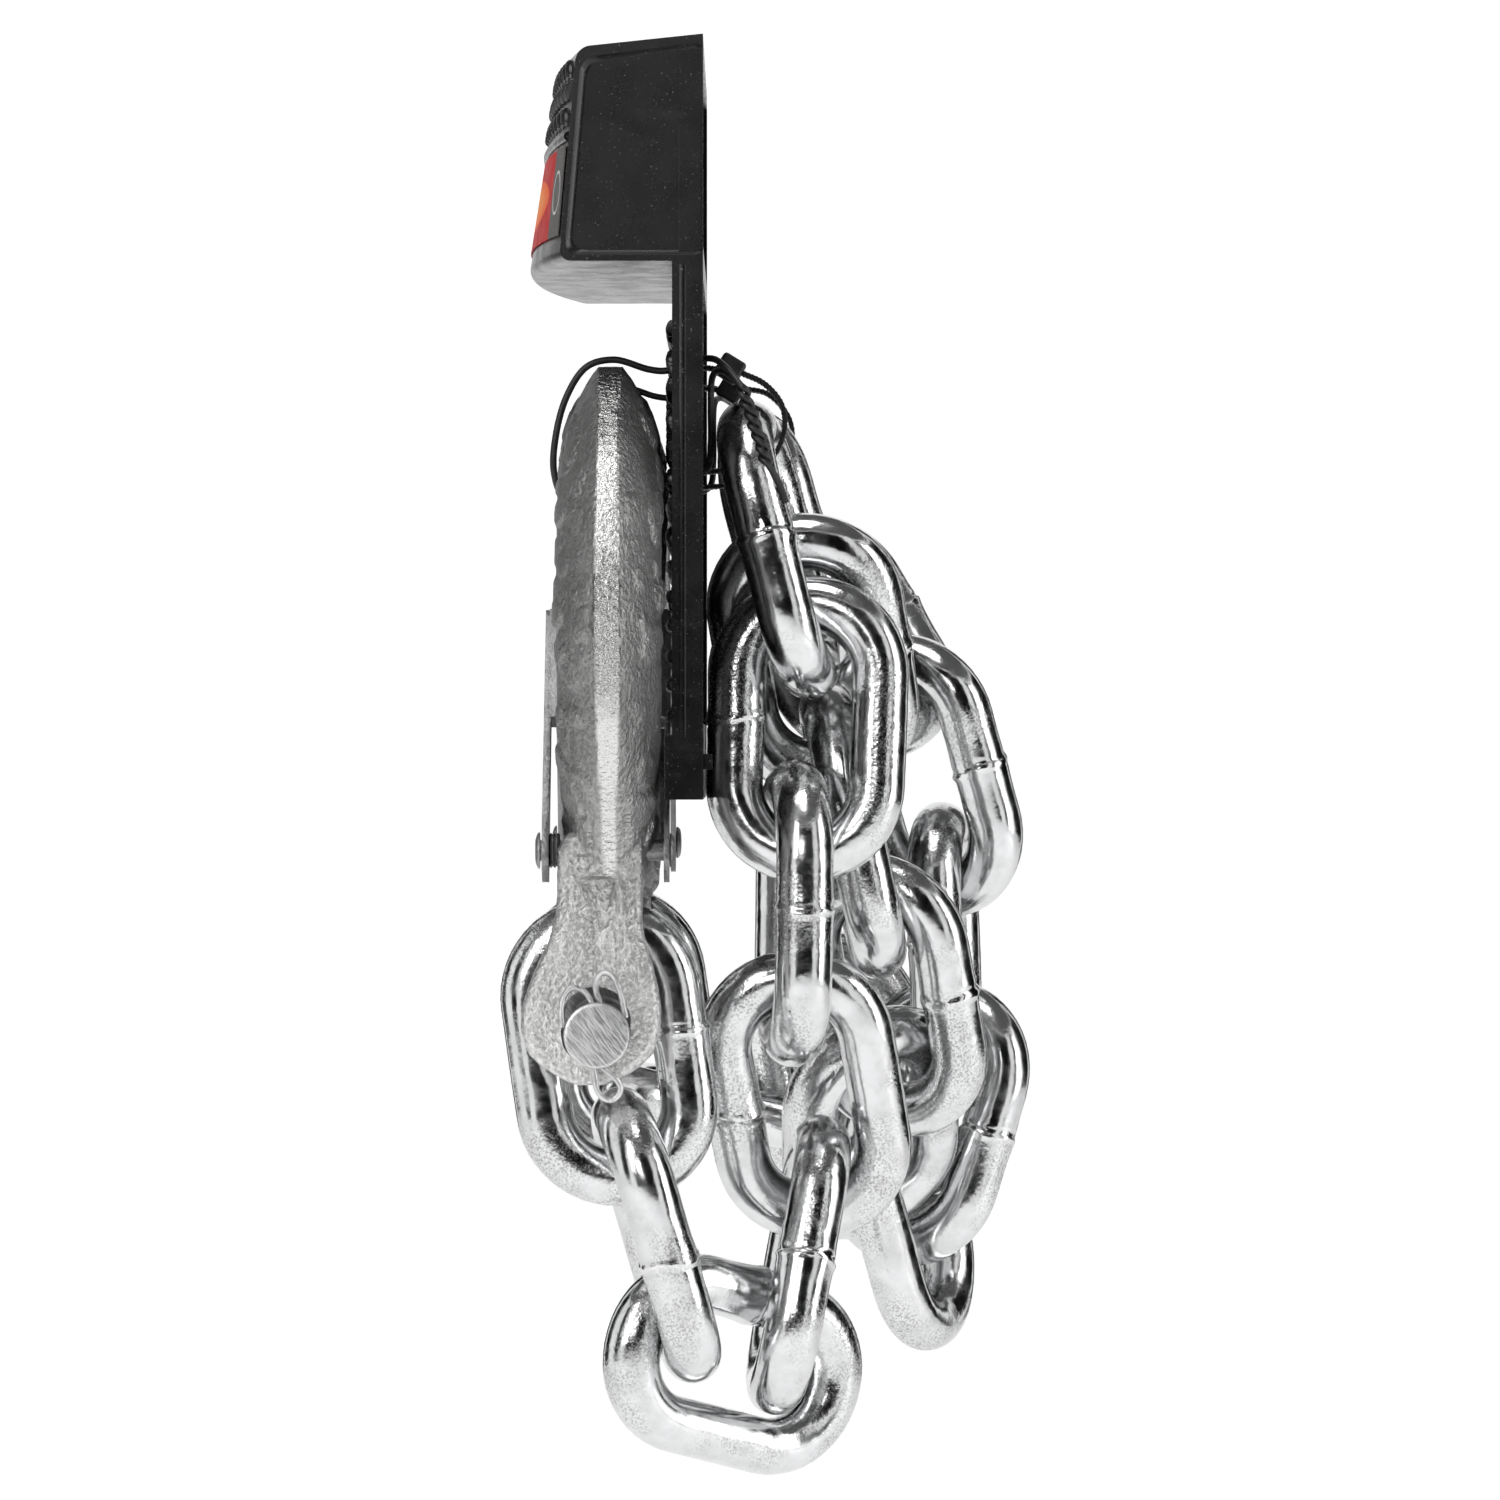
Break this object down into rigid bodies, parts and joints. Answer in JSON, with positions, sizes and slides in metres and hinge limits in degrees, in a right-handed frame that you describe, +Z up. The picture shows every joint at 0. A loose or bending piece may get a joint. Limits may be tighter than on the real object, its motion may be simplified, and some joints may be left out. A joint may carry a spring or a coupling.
{
  "type": "carded safety chain with hooks",
  "caption": "Black moulded hanger card carrying a zinc-plated welded link chain with a forged clevis hook, spring latch and split pin on each end, tied on with wire and straps.",
  "frame": {"origin": "centre of the peg hole, on the plane of the card's flat back", "axes": "+X across the card towards the hook whose pin is seen end on, +Y out of the card's back, +Z up when the pack hangs on its peg"},
  "size_m": [0.1506, 0.0789, 0.2104],
  "materials": {
    "zinc_chain": "bright zinc plate over welded steel",
    "forging": "zinc plated drop forging, grainy",
    "pin_steel": "dull zinc plate",
    "card": "satin moulded, glossy underside",
    "label": "glossy printed sheet",
    "wire_coating": "vinyl coated wire",
    "tie": "moulded nylon"
  },
  "bodies": {
    "pack": {"hanger_card": "card", "header_label": "label", "twist_wire_near": "wire_coating", "twist_wire_far": "wire_coating", "cable_tie_near": "tie", "cable_tie_far": "tie", "hook_near": "forging", "hook_far": "forging", "latch_rivet_near": "pin_steel", "latch_rivet_far": "pin_steel", "chain_link_01": "zinc_chain", "chain_link_02": "zinc_chain", "chain_link_03": "zinc_chain", "chain_link_04": "zinc_chain", "chain_link_05": "zinc_chain", "chain_link_06": "zinc_chain", "chain_link_07": "zinc_chain", "chain_link_08": "zinc_chain", "chain_link_09": "zinc_chain", "chain_link_10": "zinc_chain", "chain_link_11": "zinc_chain", "chain_link_12": "zinc_chain", "chain_link_13": "zinc_chain", "chain_link_14": "zinc_chain", "chain_link_15": "zinc_chain", "chain_link_16": "zinc_chain", "chain_link_17": "zinc_chain", "chain_link_18": "zinc_chain", "chain_link_19": "zinc_chain", "chain_link_20": "zinc_chain", "chain_link_21": "zinc_chain", "chain_link_22": "zinc_chain", "chain_link_23": "zinc_chain"},
    "latch_near_body": {"latch_near": "pin_steel"},
    "latch_far_body": {"latch_far": "pin_steel"},
    "pin_near_body": {"clevis_pin_near": "pin_steel", "cotter_pin_near": "pin_steel"},
    "pin_far_body": {"clevis_pin_far": "pin_steel", "cotter_pin_far": "pin_steel"}
  },
  "joints": [
    {"name": "latch_near_hinge", "type": "hinge", "parent": "pack", "child": "latch_near_body", "pos_m": [0.0475, -0.0135, -0.1086], "axis": [0, 1, 0], "range_deg": [0, 27], "stiffness_Nm_per_rad": 0.05, "springref_deg": -20.05},
    {"name": "latch_far_hinge", "type": "hinge", "parent": "pack", "child": "latch_far_body", "pos_m": [-0.0475, -0.0135, -0.1086], "axis": [0, -1, 0], "range_deg": [0, 27], "stiffness_Nm_per_rad": 0.05, "springref_deg": -20.05},
    {"name": "pin_near_turn", "type": "hinge", "parent": "pack", "child": "pin_near_body", "pos_m": [0.046, -0.0152, -0.135], "axis": [1, 0, 0], "continuous": true},
    {"name": "pin_far_turn", "type": "hinge", "parent": "pack", "child": "pin_far_body", "pos_m": [-0.046, -0.0152, -0.135], "axis": [1, 0, 0], "continuous": true}
  ]
}
